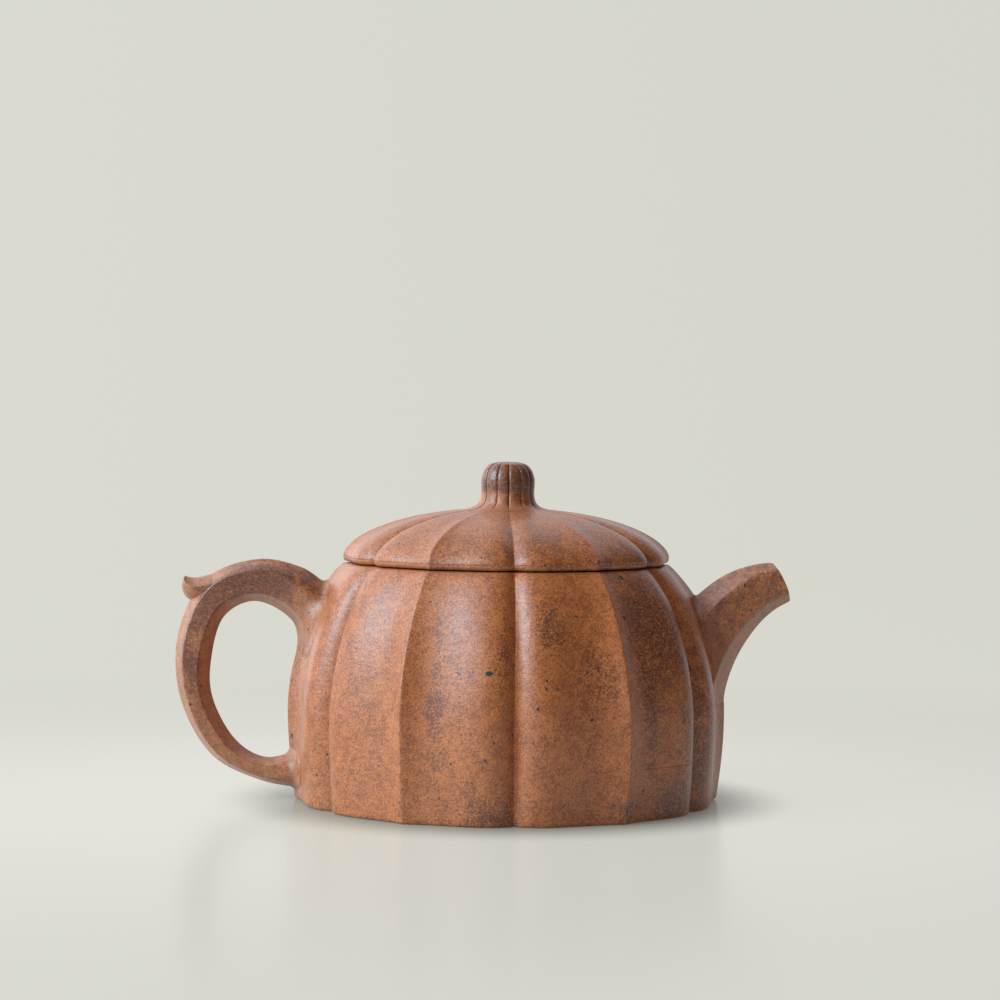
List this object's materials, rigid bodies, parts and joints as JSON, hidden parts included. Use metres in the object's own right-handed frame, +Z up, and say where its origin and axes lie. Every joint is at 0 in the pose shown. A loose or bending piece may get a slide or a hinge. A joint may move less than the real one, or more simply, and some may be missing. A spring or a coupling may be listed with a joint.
{
  "type": "clay teapot",
  "caption": "Six-petalled unglazed clay teapot with a spout, a loop handle and a press-on lid that lifts off.",
  "frame": {"origin": "centre of the foot, on the axis of the pot, at the level it stands on", "axes": "+Z up through the knob, +X towards the spout, -X towards the handle, -Y the front"},
  "size_m": [0.1507, 0.1034, 0.0829],
  "materials": {
    "red_clay": "unglazed, fine grain, soft satin",
    "dark_clay": "unglazed, smoke-darkened, soft satin"
  },
  "bodies": {
    "pot": {"body_wall": "red_clay", "base_plate": "red_clay", "mouth_ring": "red_clay", "spout": "red_clay", "strainer": "red_clay", "handle": "dark_clay", "handle_thumb_curl": "dark_clay"},
    "lid": {"lid_dome": "red_clay", "lid_rim_plate": "red_clay", "lid_flange": "red_clay", "knob_collar": "dark_clay", "knob": "dark_clay"}
  },
  "joints": [
    {"name": "lid_lift", "type": "slide", "parent": "pot", "child": "lid", "axis": [0, 0, 1], "range_m": [0, 0.04]}
  ]
}
